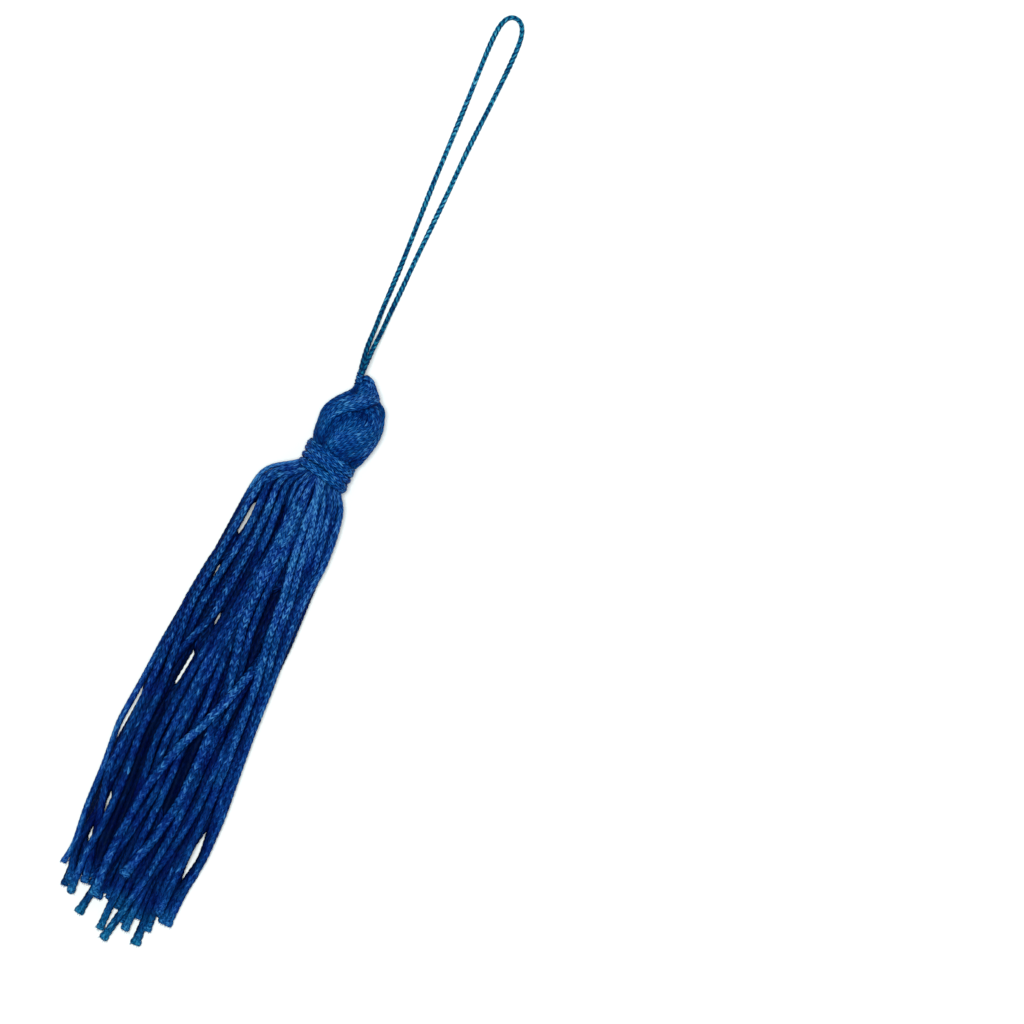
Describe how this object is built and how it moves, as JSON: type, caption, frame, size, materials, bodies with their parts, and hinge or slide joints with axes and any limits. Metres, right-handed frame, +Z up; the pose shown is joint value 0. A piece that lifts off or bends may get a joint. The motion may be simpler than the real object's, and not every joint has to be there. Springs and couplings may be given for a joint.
{
  "type": "tassel",
  "caption": "Knitted-cord tassel with a wound head, bound neck, uneven cut skirt and a thin hanging loop, lying flat.",
  "frame": {"origin": "on the table under the middle of the tassel, without its loop", "axes": "+Y along the tassel from the cut ends towards the loop, +Z up from the table, +X to the right of the face seen from above with the loop pointing away"},
  "size_m": [0.0183, 0.1316, 0.0078],
  "materials": {
    "skirt_cord": "silky knitted cord, royal blue",
    "head_cord": "silky knitted cord, wound, royal blue",
    "binding_cord": "silky knitted cord in tight turns, royal blue",
    "knot_cord": "silky cord in a tight knot, royal blue",
    "loop_cord": "fine twisted cord, royal blue"
  },
  "bodies": {
    "root": {"skirt": "skirt_cord", "head": "head_cord", "neck_binding": "binding_cord", "top_knot": "knot_cord", "hanging_loop": "loop_cord"}
  },
  "joints": []
}
